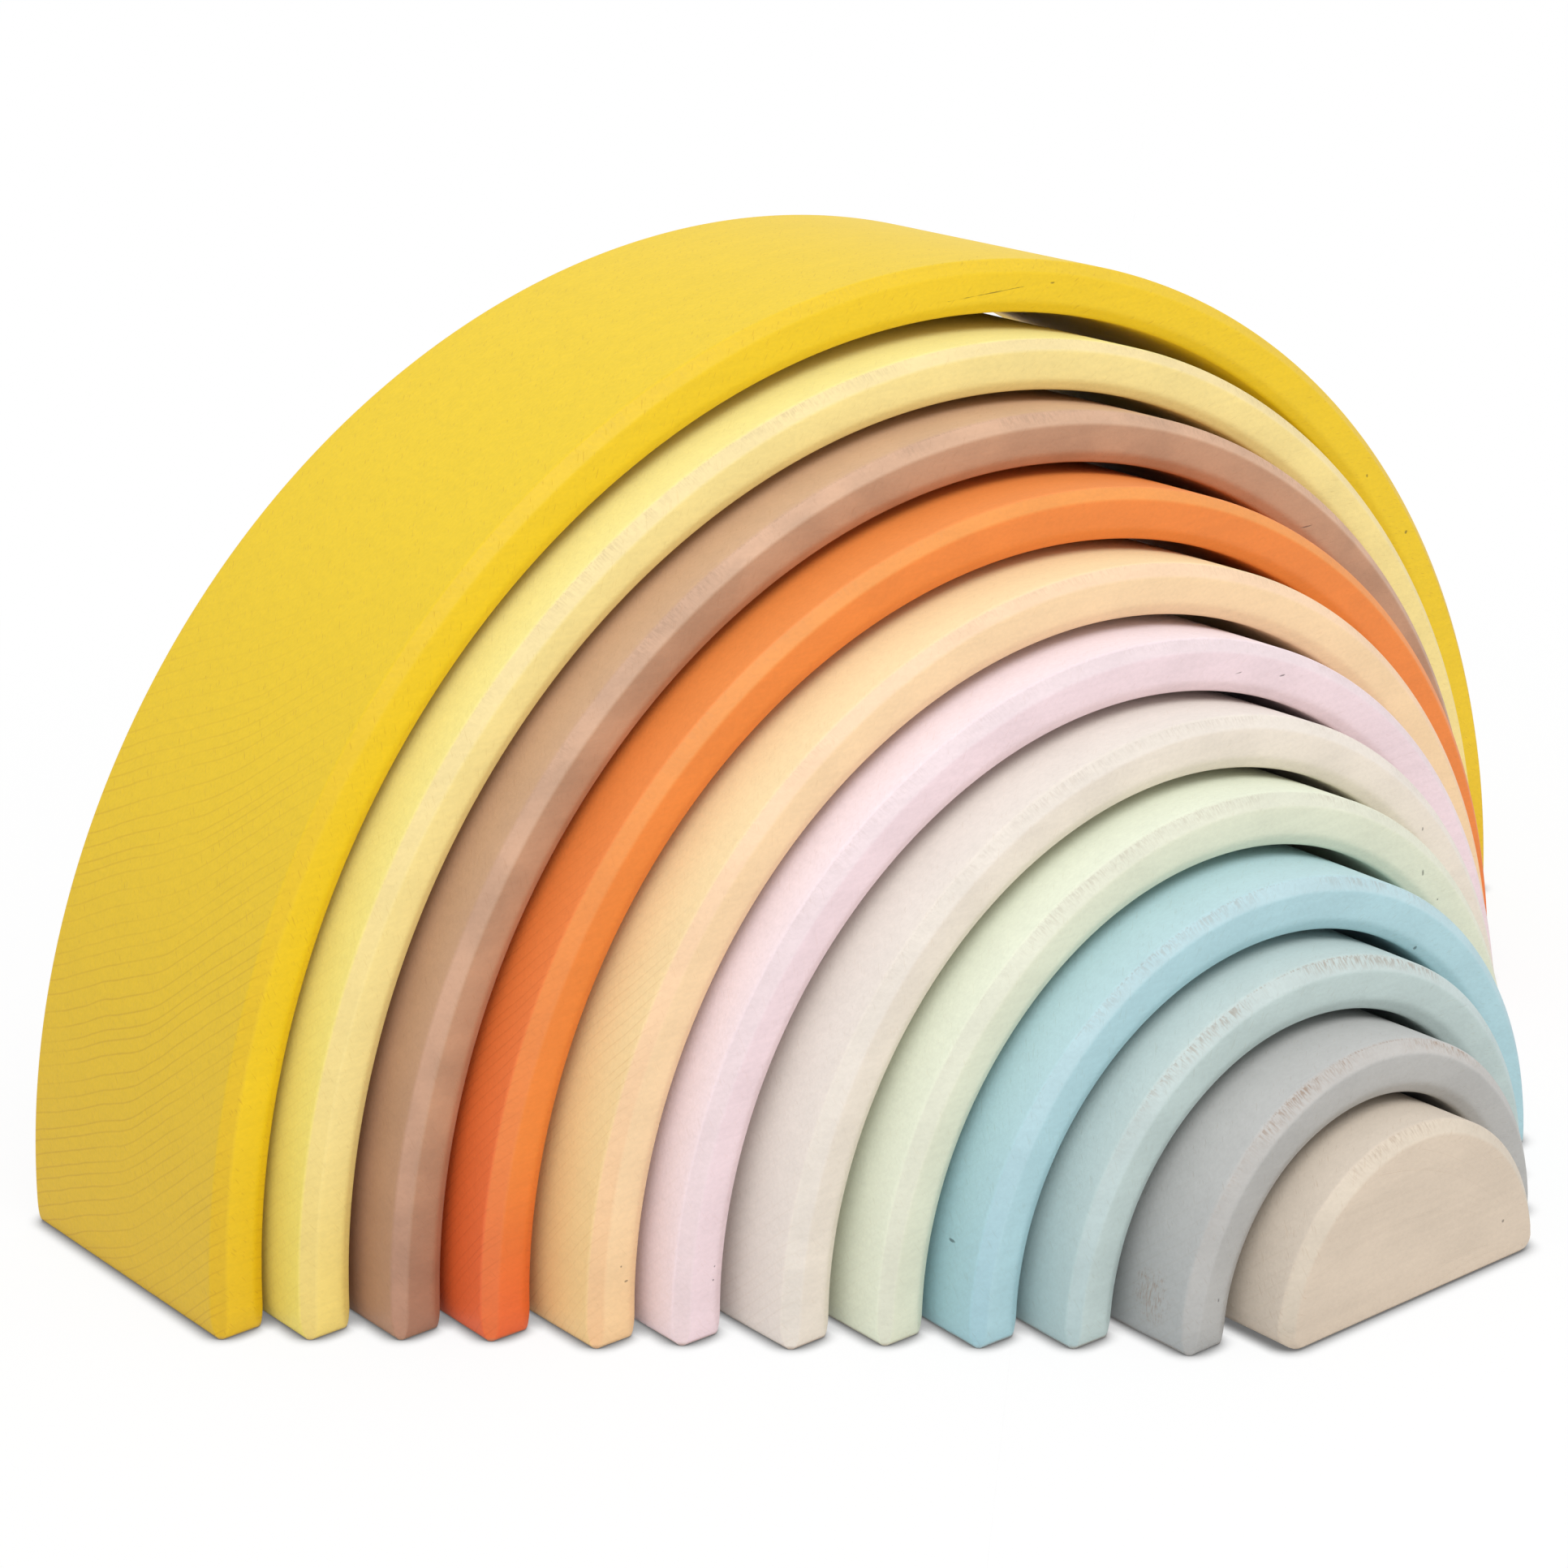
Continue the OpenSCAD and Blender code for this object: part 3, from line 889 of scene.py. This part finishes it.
def painted_wood(node, paint):
    """Satin paint over wood, with rings, pores, flaws, pale flats, bare strokes and bare foot edges."""
    finish, piece = FINISHES[node], measure(node)
    number = list(FINISHES).index(node)
    shift = tuple(step * number for step in NOISE_SHIFT)
    material = bpy.data.materials.new(f"{node}_paint")
    material.use_nodes = True
    tree = material.node_tree
    shader = tree.nodes["Principled BSDF"]
    coordinates = tree.nodes.new("ShaderNodeTexCoord")
    spot, section = coordinates.outputs["Object"], coordinates.outputs["UV"]
    outside, pale, rubbed, end_grain, foot = (
        attribute(tree, name) for name in ("outside", "pale", "rubbed", "end_grain", "foot")
    )
    fibre = cloud(tree, spot, FIBRE_NOISE, shift, detail=3.0)
    clouds = cloud(tree, spot, CLOUD_NOISE, shift, detail=3.0)
    tooth = cloud(tree, spot, TOOTH_NOISE, shift)
    rings = rings_in(tree, spot, shift, end_grain, piece, finish)
    pores = pores_in(tree, section, shift, finish)
    strokes = strokes_in(tree, section, shift, rubbed, finish)
    bare = bare_wood_in(tree, node, spot, shift, strokes, foot, clouds)
    flaws = flaws_in(tree, node, spot, FLAWS)

    # Colour: three paints, the outer face's one carrying painted light and shade, then painted shade
    # towards the feet, then bare wood and grain
    face, flat, outer = ((*getattr(paint, f"{node}_{part}"), 1.0) for part in ("face", "flat", "outer"))
    # The outer face's paint is the face paint set lighter or darker as painted light and shade
    colour = mix_colour(tree, outside, mix_colour(tree, pale, face, flat), outer)
    # Painted shade: the paint darkens towards the feet, reaching highest on the outer face
    soaked = painted_foot_shade_in(tree, spot, outside, pale, piece, finish)
    colour = mix_colour(tree, soaked, colour, (*finish.soaked, 1.0), "MULTIPLY")
    colour = mix_colour(tree, bare, colour, (*paint.bare_wood, 1.0))
    grain = calculate(tree, "MAXIMUM", rings, calculate(tree, "MULTIPLY", pores, PORE_STRENGTH))
    colour = mix_colour(tree, grain, colour, (*GRAIN_TINT, 1.0), "MULTIPLY")

    # Tone and relief
    cloudy = LEAST_CLOUD_TONE + CLOUD_TONE * finish.clouds
    calm = calculate(tree, "MULTIPLY_ADD", outside, -OUTSIDE_CALM, 1.0)
    tone = calculate(tree, "MULTIPLY_ADD", ease(tree, clouds, *CLOUD_RANGE, -cloudy, cloudy), calm, 1.0)
    tone = calculate(tree, "ADD", tone, ease(tree, fibre, *FINE_RANGE, -FIBRE_TONE, FIBRE_TONE))
    tone = calculate(tree, "ADD", tone, ease(tree, tooth, *FINE_RANGE, -TOOTH_TONE, TOOTH_TONE))
    relief = calculate(tree, "MULTIPLY_ADD", rings, RING_RELIEF, tooth)
    relief = calculate(tree, "MULTIPLY_ADD", pores, PORE_RELIEF, relief)
    relief = calculate(tree, "MULTIPLY_ADD", bare, BARE_RELIEF, relief)
    if flaws:
        tone = calculate(tree, "MULTIPLY_ADD", flaws, FLAW_TONE, tone)
        relief = calculate(tree, "MULTIPLY_ADD", flaws, FLAW_RELIEF, relief)

    feed(tree, shader.inputs["Base Color"], mix_colour(tree, 1.0, colour, tone, "MULTIPLY"))
    feed(tree, shader.inputs["Roughness"], ease(tree, bare, 0.0, 1.0, paint.roughness, BARE_ROUGHNESS))
    shader.inputs["Specular IOR Level"].default_value = paint.gloss
    bump = tree.nodes.new("ShaderNodeBump")
    bump.inputs["Strength"].default_value = RELIEF_STRENGTH
    bump.inputs["Distance"].default_value = RELIEF_DEPTH
    feed(tree, bump.inputs["Height"], relief)
    feed(tree, shader.inputs["Normal"], bump.outputs["Normal"])
    return material


# Stage

SENSOR_WIDTH = 36.0
# Key lamp: where it hangs, where it points and the length of its side
KEY_SPOT = (-0.34, -0.70, 1.64)
KEY_AIM = (0, 0, 0.08)
KEY_SIZE = 1.2
# Floor: its paint, how far it reaches and how far it lies below the feet
FLOOR_PAINT = (0.9, 0.9, 0.9, 1.0)
FLOOR_REACH = 8.0
FLOOR_DROP = 0.05 * MM
# Contact shadow: its reach, the openness over which it fades and how much light it leaves
CONTACT_REACH = 3.5 * MM
CONTACT_RANGE = (0.25, 1.0)
CONTACT_LEAST = 0.15
# Distances from the set between which the floor's own shading fades to white
SHADING_RANGE = (0.2, 0.5)


def add_camera(stage):
    """Camera on a line through the outer arch's middle plane, by heading, elevation and roll."""
    low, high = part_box(OUTER_ARCH)
    aim = Vector((stage.aim_side, (low.y + high.y) / 2, stage.aim_height))
    level = math.cos(stage.elevation)
    view = Vector((
        math.sin(stage.azimuth) * level, math.cos(stage.azimuth) * level, -math.sin(stage.elevation)
    ))
    right = Vector((math.cos(stage.azimuth), -math.sin(stage.azimuth), 0))
    axes = Matrix((right, right.cross(view), -view)).transposed()
    lens = bpy.data.cameras.new("camera")
    lens.lens, lens.sensor_width = stage.lens, SENSOR_WIDTH
    camera = bpy.data.objects.new("camera", lens)
    turned = axes @ Matrix.Rotation(stage.roll, 3, "Z")
    camera.matrix_world = Matrix.Translation(aim - stage.distance * view) @ turned.to_4x4()
    bpy.context.scene.collection.objects.link(camera)
    bpy.context.scene.camera = camera


def add_lamp(name, spot, aim, size, power):
    """Square soft lamp that faces a point."""
    lamp = bpy.data.lights.new(name, "AREA")
    lamp.size, lamp.energy = size, power
    holder = bpy.data.objects.new(name, lamp)
    holder.location = spot
    holder.rotation_euler = (Vector(aim) - Vector(spot)).to_track_quat("-Z", "Y").to_euler()
    bpy.context.scene.collection.objects.link(holder)


def seen_white(tree):
    """Share that is 1 for what the camera, a gloss or a clear surface sees, and 0 for light."""
    path = tree.nodes.new("ShaderNodeLightPath")
    seen = calculate(tree, "MAXIMUM", path.outputs["Is Camera Ray"], path.outputs["Is Glossy Ray"])
    return calculate(tree, "MAXIMUM", seen, path.outputs["Is Transmission Ray"])


def floor_material(shadow):
    """White floor: it lights the set as a pale surface, and is seen white with a weakened shadow."""
    material = bpy.data.materials.new("white_floor")
    material.use_nodes = True
    tree = material.node_tree
    tree.nodes.clear()
    pale = tree.nodes.new("ShaderNodeBsdfDiffuse")
    pale.inputs["Color"].default_value = FLOOR_PAINT
    contact = tree.nodes.new("ShaderNodeAmbientOcclusion")
    contact.inputs["Distance"].default_value = CONTACT_REACH
    white = tree.nodes.new("ShaderNodeEmission")
    feed(tree, white.inputs["Color"], ease(tree, contact.outputs["AO"], *CONTACT_RANGE, CONTACT_LEAST, 1.0))
    near = tree.nodes.new("ShaderNodeTexCoord")
    reach = tree.nodes.new("ShaderNodeVectorMath")
    reach.operation = "LENGTH"
    feed(tree, reach.inputs[0], near.outputs["Object"])
    shaded = tree.nodes.new("ShaderNodeMixShader")
    feed(tree, shaded.inputs[0], ease(tree, reach.outputs["Value"], *SHADING_RANGE, shadow, 0.0))
    feed(tree, shaded.inputs[1], white.outputs[0])
    feed(tree, shaded.inputs[2], pale.outputs[0])
    shown = tree.nodes.new("ShaderNodeMixShader")
    feed(tree, shown.inputs[0], seen_white(tree))
    feed(tree, shown.inputs[1], pale.outputs[0])
    feed(tree, shown.inputs[2], shaded.outputs[0])
    output = tree.nodes.new("ShaderNodeOutputMaterial")
    feed(tree, output.inputs["Surface"], shown.outputs[0])
    return material


def add_floor(shadow):
    """Flat square floor under the set."""
    side = np.array([-FLOOR_REACH, FLOOR_REACH])
    x, y = np.meshgrid(side, side)
    mesh = bpy.data.meshes.new("floor")
    points = np.stack([x.ravel(), y.ravel(), np.full(4, -FLOOR_DROP)], axis=-1)
    mesh.from_pydata(points, [], [(0, 1, 3, 2)])
    mesh.materials.append(floor_material(shadow))
    floor = bpy.data.objects.new("floor", mesh)
    bpy.context.scene.collection.objects.link(floor)


def add_sky(strength):
    """Even white light from all around, which the camera sees as white."""
    world = bpy.data.worlds.new("sky")
    world.use_nodes = True
    tree = world.node_tree
    background = tree.nodes["Background"]
    background.inputs["Color"].default_value = (1.0, 1.0, 1.0, 1.0)
    feed(tree, background.inputs["Strength"], ease(tree, seen_white(tree), 0.0, 1.0, strength, 1.0))
    bpy.context.scene.world = world


# Operators and panel

# Seed of the first piece's random draws
FIRST_SEED = 100


class RAINBOW_OT_arches(bpy.types.Operator):
    """Build the eleven arches"""

    bl_idname = "rainbow.arches"
    bl_label = "Arches"

    def execute(self, context):
        scene = context.scene
        for number, node in enumerate(ARCHES):
            draw = np.random.default_rng(FIRST_SEED + number)
            build_arch(node, scene.rainbow_sizes, painted_wood(node, scene.rainbow_paint), draw)
        return {"FINISHED"}


class RAINBOW_OT_half_round(bpy.types.Operator):
    """Build the solid half-round in the middle"""

    bl_idname = "rainbow.half_round"
    bl_label = "Half-round"

    def execute(self, context):
        scene = context.scene
        draw = np.random.default_rng(FIRST_SEED + len(ARCHES))
        material = painted_wood(HALF_ROUND, scene.rainbow_paint)
        build_half_round(HALF_ROUND, scene.rainbow_sizes, material, draw)
        return {"FINISHED"}


class RAINBOW_OT_stage(bpy.types.Operator):
    """Set up the camera, the lamps, the sky and the floor"""

    bl_idname = "rainbow.stage"
    bl_label = "Stage"

    def execute(self, context):
        stage = context.scene.rainbow_stage
        add_camera(stage)
        add_floor(stage.shadow)
        add_sky(stage.sky)
        add_lamp("key_light", KEY_SPOT, KEY_AIM, KEY_SIZE, stage.key_light)
        context.scene.view_settings.view_transform = "Standard"
        return {"FINISHED"}


class RAINBOW_PT_panel(bpy.types.Panel):
    """Pieces and settings of the rainbow stacker"""

    bl_idname = "RAINBOW_PT_panel"
    bl_label = "Rainbow Stacker"
    bl_space_type = "VIEW_3D"
    bl_region_type = "UI"
    bl_category = "Rainbow"

    def draw(self, context):
        scene = context.scene
        for operator in (RAINBOW_OT_arches, RAINBOW_OT_half_round, RAINBOW_OT_stage):
            self.layout.operator(operator.bl_idname)
        for group in (scene.rainbow_sizes, scene.rainbow_paint, scene.rainbow_stage):
            box = self.layout.box()
            for name in group.__annotations__:
                box.prop(group, name)


GROUPS = {
    "rainbow_sizes": RainbowSizes,
    "rainbow_paint": RainbowPaint,
    "rainbow_stage": RainbowStage,
}
CLASSES = (*GROUPS.values(), RAINBOW_OT_arches, RAINBOW_OT_half_round, RAINBOW_OT_stage, RAINBOW_PT_panel)


def register():
    """Adds the classes and the scene's settings."""
    for item in CLASSES:
        bpy.utils.register_class(item)
    for name, group in GROUPS.items():
        setattr(bpy.types.Scene, name, PointerProperty(type=group))


def unregister():
    """Takes the settings and the classes away again."""
    for name in GROUPS:
        delattr(bpy.types.Scene, name)
    for item in reversed(CLASSES):
        bpy.utils.unregister_class(item)


def main():
    """Builds all pieces and the stage."""
    register()
    bpy.ops.rainbow.arches()
    bpy.ops.rainbow.half_round()
    bpy.ops.rainbow.stage()


if __name__ == "__main__":
    main()
